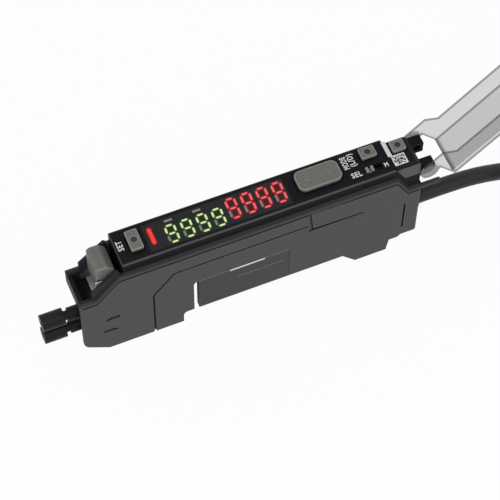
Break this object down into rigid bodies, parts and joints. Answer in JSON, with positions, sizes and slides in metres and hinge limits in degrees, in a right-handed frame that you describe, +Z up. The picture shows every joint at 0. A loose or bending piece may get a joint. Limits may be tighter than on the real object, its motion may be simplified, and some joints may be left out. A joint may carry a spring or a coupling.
{
  "type": "fibre optic sensor amplifier",
  "caption": "Slim rail-mounted fibre optic sensor amplifier with a digital display, push buttons, a rocker, a fibre lock lever, a hinged clear dust cover and a power cable tied in a hank.",
  "frame": {"origin": "middle of the rail seat's face, in the middle of the case's width", "axes": "+X along the case towards the cable end, +Y towards the back, +Z up from the rail"},
  "size_m": [0.1999, 0.0357, 0.0657],
  "materials": {
    "case_grey": "fine spark texture",
    "housing_black": "satin",
    "window_black": "polished, tinted",
    "green_light": "lit from behind",
    "red_light": "lit from behind",
    "unlit": "frosted",
    "button_grey": "satin",
    "steel": "bright",
    "board_green": "solder mask",
    "device_black": "moulded",
    "led_white": "moulded",
    "cover_clear": "clear, polished",
    "label_dark": "printed film, bare",
    "label_white": "printed film, bare",
    "sleeve_black": "matt",
    "cable_black": "matt sheath",
    "core_brown": "insulation",
    "core_blue": "insulation",
    "core_black": "insulation",
    "copper": "bare strands"
  },
  "bodies": {
    "case": {"rear_case": "case_grey", "front_cover": "case_grey", "top_housing": "housing_black", "fibre_holder": "housing_black", "display_window": "window_black", "green_segments": "green_light", "red_segments": "red_light", "output_bar": "red_light", "dark_segments": "unlit", "indicator_lenses": "unlit", "lever_pin": "steel", "clamp_spring": "steel", "main_board": "board_green", "display_board": "board_green", "light_emitter": "device_black", "light_receiver": "device_black", "board_header": "device_black", "tact_switches": "device_black", "slide_switch": "device_black", "green_block": "led_white", "red_block": "led_white", "rating_label": "label_dark", "code_label": "label_white", "upper_sleeve": "sleeve_black", "lower_sleeve": "sleeve_black", "cable_gland": "cable_black", "power_cable": "cable_black", "cable_coil": "cable_black", "cable_tail": "cable_black", "coil_tie": "cable_black", "brown_core": "core_brown", "blue_core": "core_blue", "black_core": "core_black", "core_tips": "copper"},
    "set_button": {"set_button": "button_grey"},
    "mode_button": {"mode_button": "button_grey"},
    "select_button": {"select_button": "button_grey"},
    "rocker": {"rocker": "button_grey"},
    "slide_knob": {"slide_knob": "button_grey"},
    "lock_lever": {"lock_lever": "button_grey"},
    "dust_cover": {"dust_cover": "cover_clear"}
  },
  "joints": [
    {"name": "set_button_press", "type": "slide", "parent": "case", "child": "set_button", "axis": [0, 0, -1], "range_m": [0, 0.0003], "stiffness_N_per_m": 200, "springref_m": -0.0005},
    {"name": "mode_button_press", "type": "slide", "parent": "case", "child": "mode_button", "axis": [0, 0, -1], "range_m": [0, 0.0003], "stiffness_N_per_m": 200, "springref_m": -0.0005},
    {"name": "select_button_press", "type": "slide", "parent": "case", "child": "select_button", "axis": [0, 0, -1], "range_m": [0, 0.0003], "stiffness_N_per_m": 200, "springref_m": -0.0005},
    {"name": "rocker_tilt", "type": "hinge", "parent": "case", "child": "rocker", "pos_m": [0.0118, 0, 0.0232], "axis": [0, 1, 0], "range_deg": [-4, 4], "stiffness_Nm_per_rad": 0.05},
    {"name": "knob_slide", "type": "slide", "parent": "case", "child": "slide_knob", "axis": [1, 0, 0], "range_m": [0, 0.0017]},
    {"name": "lever_turn", "type": "hinge", "parent": "case", "child": "lock_lever", "pos_m": [-0.0326, 0, 0.0152], "axis": [0, 1, 0], "range_deg": [-45, 0]},
    {"name": "cover_hinge", "type": "hinge", "parent": "case", "child": "dust_cover", "pos_m": [0.0342, 0, 0.0205], "axis": [0, 1, 0], "range_deg": [-138, 0]}
  ]
}
